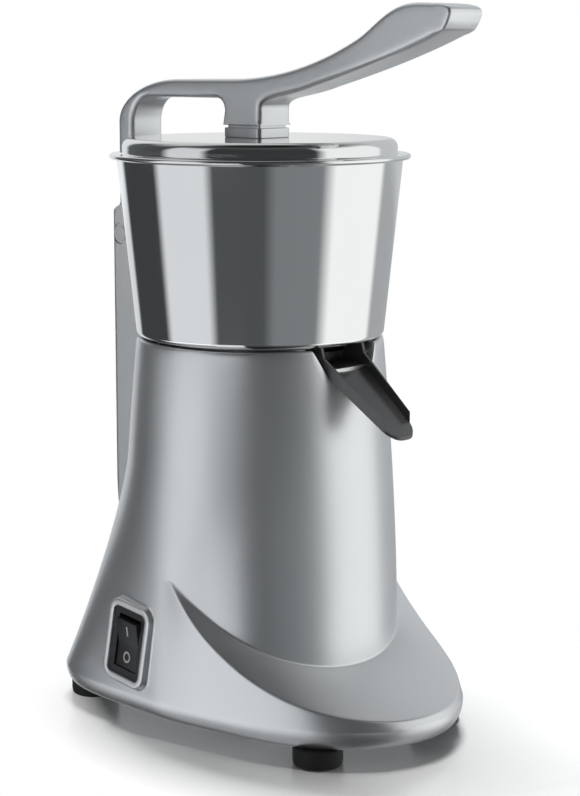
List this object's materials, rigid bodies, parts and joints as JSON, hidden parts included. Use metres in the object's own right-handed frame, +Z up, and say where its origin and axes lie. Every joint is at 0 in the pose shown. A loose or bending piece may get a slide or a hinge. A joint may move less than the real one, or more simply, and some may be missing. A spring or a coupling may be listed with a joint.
{
  "type": "electric citrus juicer",
  "caption": "Lever-type electric citrus juicer: cast tower on a flared base, polished steel bowl and lid, hinged pressing lever, ribbed reamer on a motor shaft, open spout and rocker switch.",
  "frame": {"origin": "on the table, under the middle of the whole part's outline in plan", "axes": "+Z up; the spout, toe and handle point towards -Y, the column stands at +Y, the switch is on -X"},
  "size_m": [0.2038, 0.2964, 0.4658],
  "materials": {
    "silver_paint": "satin silver-grey lacquer on cast aluminium",
    "polished_steel": "mirror-polished stainless sheet",
    "machined_steel": "turned or zinc-plated steel",
    "raw_casting": "bare casting",
    "laminated_steel": "stacked electrical sheet",
    "black_plastic": "fine-grained black moulding",
    "black_rubber": "matt rubber",
    "smoked_plastic": "glossy dark grey moulding",
    "white_plastic": "food-safe off-white moulding",
    "copper_wire": "varnished windings",
    "bronze": "sintered bronze"
  },
  "bodies": {
    "base": {"body_housing": "silver_paint", "top_deck": "silver_paint", "rear_column": "silver_paint", "bowl": "polished_steel", "strainer": "polished_steel", "deck_screws": "machined_steel", "base_plate": "machined_steel", "base_screws": "machined_steel", "column_bolts": "machined_steel", "pivot_pin": "machined_steel", "retaining_rings": "machined_steel", "capacitor_clip": "machined_steel", "motor_spacers": "machined_steel", "motor_bolts": "machined_steel", "upper_bearing": "machined_steel", "lower_bearing": "machined_steel", "upper_shield": "raw_casting", "lower_shield": "raw_casting", "motor_stator": "laminated_steel", "switch_housing": "black_plastic", "cable_gland": "black_plastic", "rubber_feet": "black_rubber", "shaft_seal": "black_rubber", "spout": "smoked_plastic", "terminal_block": "white_plastic", "capacitor": "white_plastic", "stator_windings": "copper_wire"},
    "spindle": {"motor_shaft": "machined_steel", "motor_rotor": "laminated_steel", "cooling_fan": "black_plastic", "drive_pin": "machined_steel", "reamer": "white_plastic"},
    "lever": {"lever_arm": "silver_paint", "lid_neck": "silver_paint", "lid": "polished_steel", "pressing_cup": "polished_steel", "lid_bolt": "machined_steel", "pivot_bush": "bronze"},
    "rocker": {"switch_rocker": "black_plastic"}
  },
  "joints": [
    {"name": "lever_hinge", "type": "hinge", "parent": "base", "child": "lever", "pos_m": [0, 0.13875, 0.314], "axis": [-1, 0, 0], "range_deg": [0, 80]},
    {"name": "spindle_spin", "type": "hinge", "parent": "base", "child": "spindle", "pos_m": [0, 0.02175, 0.26], "axis": [0, 0, 1], "continuous": true},
    {"name": "rocker_tilt", "type": "hinge", "parent": "base", "child": "rocker", "pos_m": [-0.09331, 0.04425, 0.05765], "axis": [0.0091, 0.9945, 0.1041], "range_deg": [0, 16]}
  ]
}
